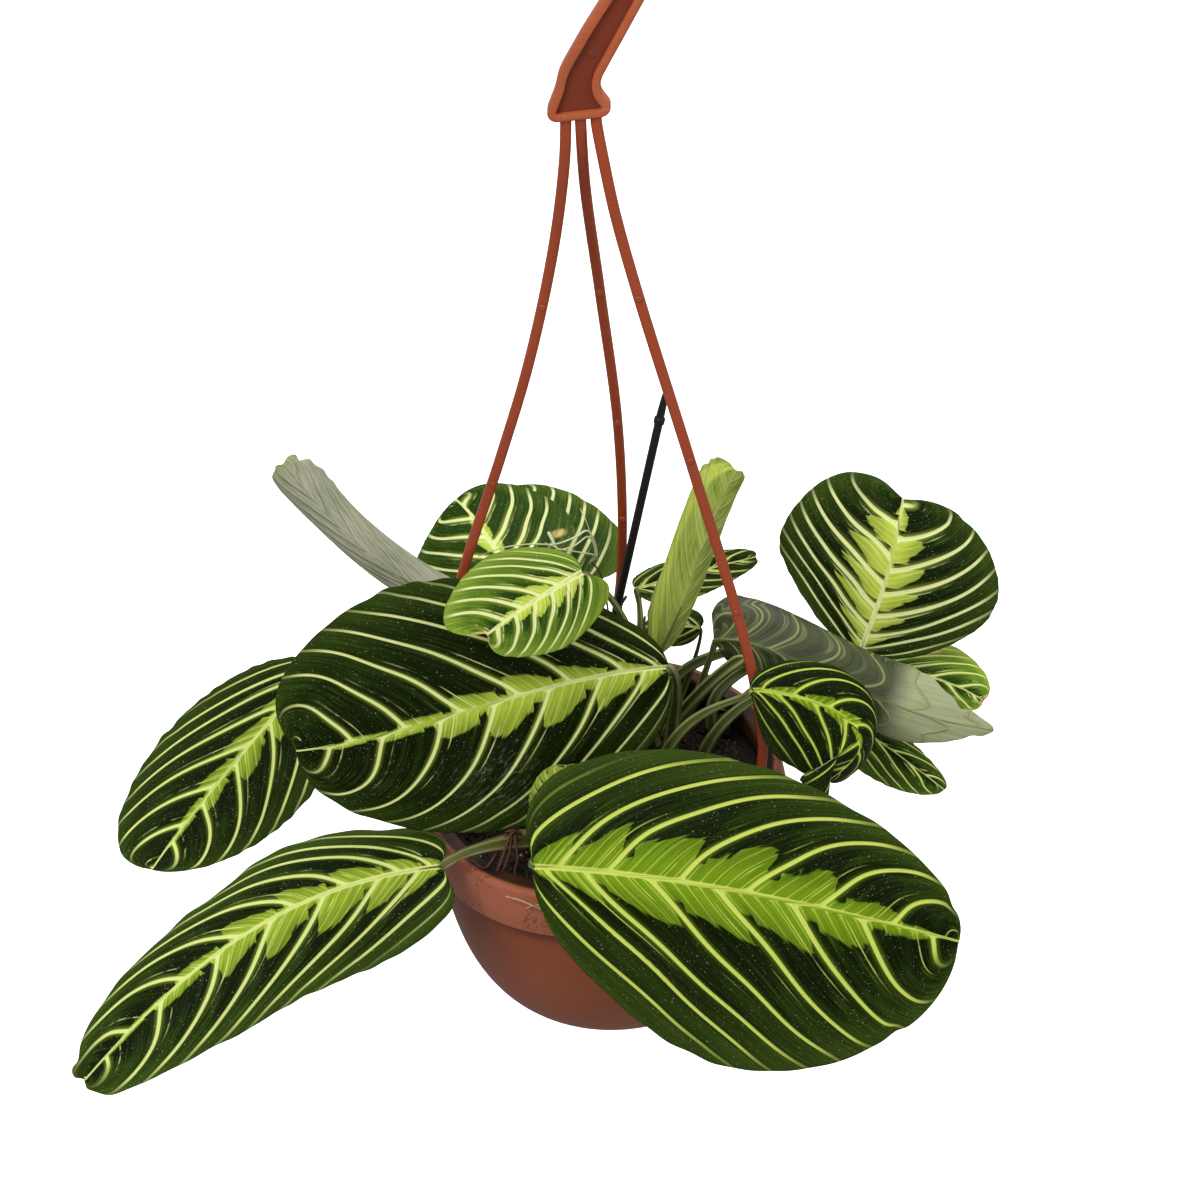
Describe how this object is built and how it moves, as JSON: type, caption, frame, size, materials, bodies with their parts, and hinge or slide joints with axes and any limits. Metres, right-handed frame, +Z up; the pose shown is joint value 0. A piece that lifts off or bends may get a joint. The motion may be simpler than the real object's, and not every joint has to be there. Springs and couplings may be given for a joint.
{
  "type": "potted prayer plant maranta",
  "caption": "Prayer plant with broad patterned leaves growing in a soil-filled hanging bowl pot, on a hook with long moulded strands, with a thin support stake",
  "frame": {"origin": "the point inside the hook's arch where the hook hangs on a rail, above the pot's middle", "axes": "+Z up along the pull of gravity as it hangs; -Y towards the side that the hook's recessed web and the large front leaves face; +X to the viewer's right"},
  "size_m": [0.3857, 0.2808, 0.5046],
  "materials": {
    "pot_plastic": "satin moulded terracotta-coloured plastic",
    "hanger_plastic": "satin moulded terracotta-coloured plastic",
    "stake_plastic": "satin black plastic",
    "soil": "dark crumbly peat with fibres and pale specks",
    "leaf_green": "satin leaf, near-black green between lime veins, with a jagged lime band along the midrib",
    "leaf_lime": "satin young leaf, lime green",
    "leaf_underside": "satin silvery grey-green leaf underside with fine arcs",
    "stalk": "satin green stalk, brownish at joints"
  },
  "bodies": {
    "root": {"pot": "pot_plastic", "soil": "soil", "hanger": "hanger_plastic", "stake": "stake_plastic", "leaf_front_left": "leaf_green", "leaf_front_right": "leaf_green", "leaf_long_left": "leaf_green", "leaf_left": "leaf_green", "leaf_small_lime": "leaf_lime", "leaf_right_up": "leaf_green", "leaf_rolled_right": "leaf_underside", "leaf_arching_dark": "leaf_green", "leaf_new_rolled": "leaf_lime", "leaf_silver_rolled": "leaf_underside", "leaf_back_left": "leaf_green", "leaf_back": "leaf_green", "leaf_back_low": "leaf_green", "leaf_tucked": "leaf_green", "leaf_right_under": "leaf_green", "leaf_right_low": "leaf_green", "leaf_new_front": "leaf_lime", "stalk_cut": "stalk", "bract": "stalk"}
  },
  "joints": []
}
